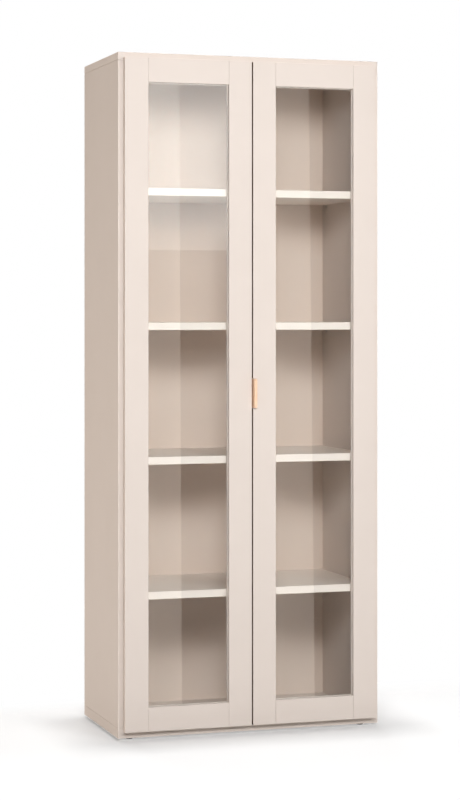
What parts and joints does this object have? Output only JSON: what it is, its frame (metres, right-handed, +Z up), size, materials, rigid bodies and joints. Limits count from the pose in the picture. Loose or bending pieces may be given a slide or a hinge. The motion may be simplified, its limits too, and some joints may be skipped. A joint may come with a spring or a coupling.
{
  "type": "display cabinet",
  "caption": "Tall free-standing display cabinet: painted carcass with loose shelves behind a pair of framed glass doors on concealed hinges, with a small wooden edge pull on the right door.",
  "frame": {"origin": "on the floor, under the middle of the cabinet's outline seen from above, pull included", "axes": "+Z up; +Y from the doors to the back panel; +X to the right of someone facing the doors"},
  "size_m": [0.8, 0.4326, 1.98],
  "materials": {
    "painted_board": "satin lacquer, warm off-white",
    "clear_glass": "clear, polished",
    "light_oak": "oiled light oak",
    "plated_steel": "nickel plated",
    "dark_plastic": "moulded, dark brown"
  },
  "bodies": {
    "carcass": {"top_panel": "painted_board", "bottom_panel": "painted_board", "left_side_panel": "painted_board", "right_side_panel": "painted_board", "back_panel": "painted_board", "shelf_1": "painted_board", "shelf_2": "painted_board", "shelf_3": "painted_board", "shelf_4": "painted_board", "shelf_pin_1_left_front": "plated_steel", "shelf_pin_1_left_back": "plated_steel", "shelf_pin_1_right_front": "plated_steel", "shelf_pin_1_right_back": "plated_steel", "shelf_pin_2_left_front": "plated_steel", "shelf_pin_2_left_back": "plated_steel", "shelf_pin_2_right_front": "plated_steel", "shelf_pin_2_right_back": "plated_steel", "shelf_pin_3_left_front": "plated_steel", "shelf_pin_3_left_back": "plated_steel", "shelf_pin_3_right_front": "plated_steel", "shelf_pin_3_right_back": "plated_steel", "shelf_pin_4_left_front": "plated_steel", "shelf_pin_4_left_back": "plated_steel", "shelf_pin_4_right_front": "plated_steel", "shelf_pin_4_right_back": "plated_steel", "foot_front_left": "dark_plastic", "foot_front_right": "dark_plastic", "foot_back_left": "dark_plastic", "foot_back_right": "dark_plastic", "left_hinge_arm_1": "plated_steel", "left_hinge_arm_2": "plated_steel", "left_hinge_arm_3": "plated_steel", "left_hinge_arm_4": "plated_steel", "right_hinge_arm_1": "plated_steel", "right_hinge_arm_2": "plated_steel", "right_hinge_arm_3": "plated_steel", "right_hinge_arm_4": "plated_steel"},
    "left_door": {"left_door_hinge_stile": "painted_board", "left_door_meeting_stile": "painted_board", "left_door_top_rail": "painted_board", "left_door_bottom_rail": "painted_board", "left_door_glass": "clear_glass", "left_door_glazing_frame": "painted_board", "left_hinge_cup_1": "plated_steel", "left_hinge_cup_2": "plated_steel", "left_hinge_cup_3": "plated_steel", "left_hinge_cup_4": "plated_steel"},
    "right_door": {"right_door_hinge_stile": "painted_board", "right_door_meeting_stile": "painted_board", "right_door_top_rail": "painted_board", "right_door_bottom_rail": "painted_board", "right_door_glass": "clear_glass", "right_door_glazing_frame": "painted_board", "right_door_pull": "light_oak", "right_hinge_cup_1": "plated_steel", "right_hinge_cup_2": "plated_steel", "right_hinge_cup_3": "plated_steel", "right_hinge_cup_4": "plated_steel"}
  },
  "joints": [
    {"name": "left_door_swing", "type": "hinge", "parent": "carcass", "child": "left_door", "pos_m": [-0.37816, -0.1916, 0.9955], "axis": [0, 0, -1], "range_deg": [0, 95]},
    {"name": "right_door_swing", "type": "hinge", "parent": "carcass", "child": "right_door", "pos_m": [0.37816, -0.1916, 0.9955], "axis": [0, 0, 1], "range_deg": [0, 95]}
  ]
}
